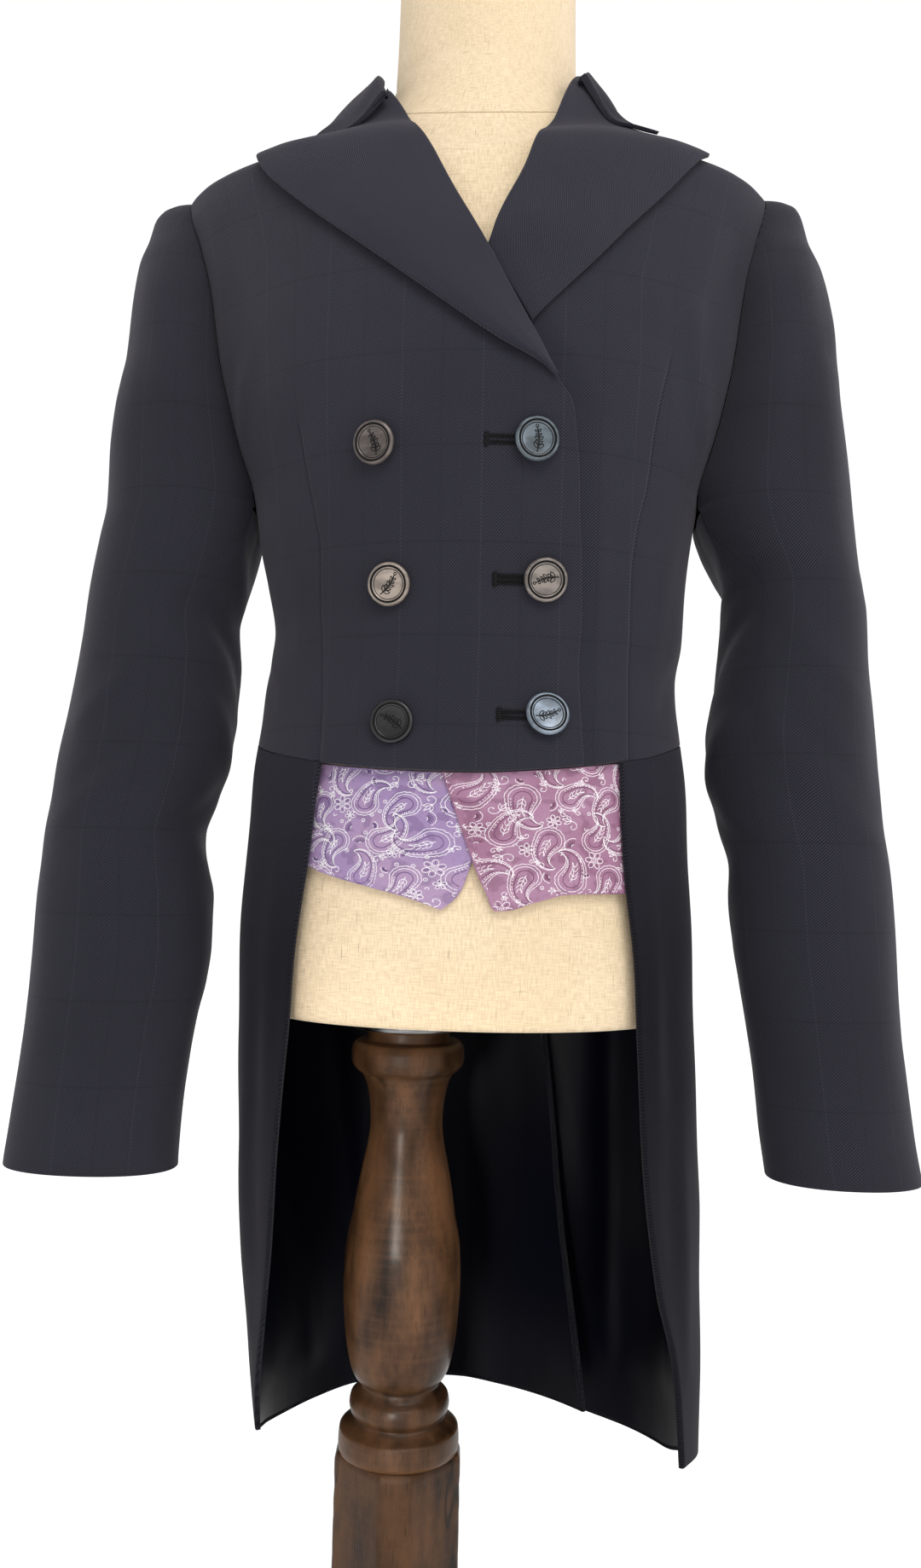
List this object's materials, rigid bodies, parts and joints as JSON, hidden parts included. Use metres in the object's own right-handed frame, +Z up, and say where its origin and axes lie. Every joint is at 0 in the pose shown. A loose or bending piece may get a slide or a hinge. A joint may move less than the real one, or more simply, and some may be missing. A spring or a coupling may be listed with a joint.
{
  "type": "shadbelly coat on a limbless dress form with its stand",
  "caption": "Dark navy double-breasted shadbelly tailcoat with lavender false waistcoat points, on a linen dress form and a turned walnut post.",
  "frame": {"origin": "middle of the stand base's underside", "axes": "+Z up, -Y the coat's front, +X the wearer's left, which is the picture's right"},
  "size_m": [0.5174, 0.36, 1.19],
  "materials": {
    "coat_cloth": "fine wool twill with a very faint windowpane check",
    "tail_lining": "black satin",
    "point_right_cloth": "lavender jacquard with a pale outline",
    "point_left_cloth": "mauve jacquard with a pale outline",
    "button_horn": "dark satin",
    "linen": "slubbed natural linen",
    "plate_metal": "grey metal",
    "walnut": "dark brown, half gloss"
  },
  "bodies": {
    "root": {"back_left": "coat_cloth", "back_right": "coat_cloth", "button_1": "button_horn", "button_2": "button_horn", "button_3": "button_horn", "button_4": "button_horn", "button_5": "button_horn", "button_6": "button_horn", "collar": "coat_cloth", "dress_form": "linen", "form_plate": "plate_metal", "front_left": "coat_cloth", "front_right": "coat_cloth", "lapel_left": "coat_cloth", "lapel_right": "coat_cloth", "point_left": "point_left_cloth", "point_right": "point_right_cloth", "post": "walnut", "post_block": "walnut", "sleeve_left_top": "coat_cloth", "sleeve_left_under": "coat_cloth", "sleeve_right_top": "coat_cloth", "sleeve_right_under": "coat_cloth", "stand_base": "walnut", "tail_left": "coat_cloth", "tail_lining_left": "tail_lining", "tail_lining_right": "tail_lining", "tail_right": "coat_cloth"}
  },
  "joints": []
}
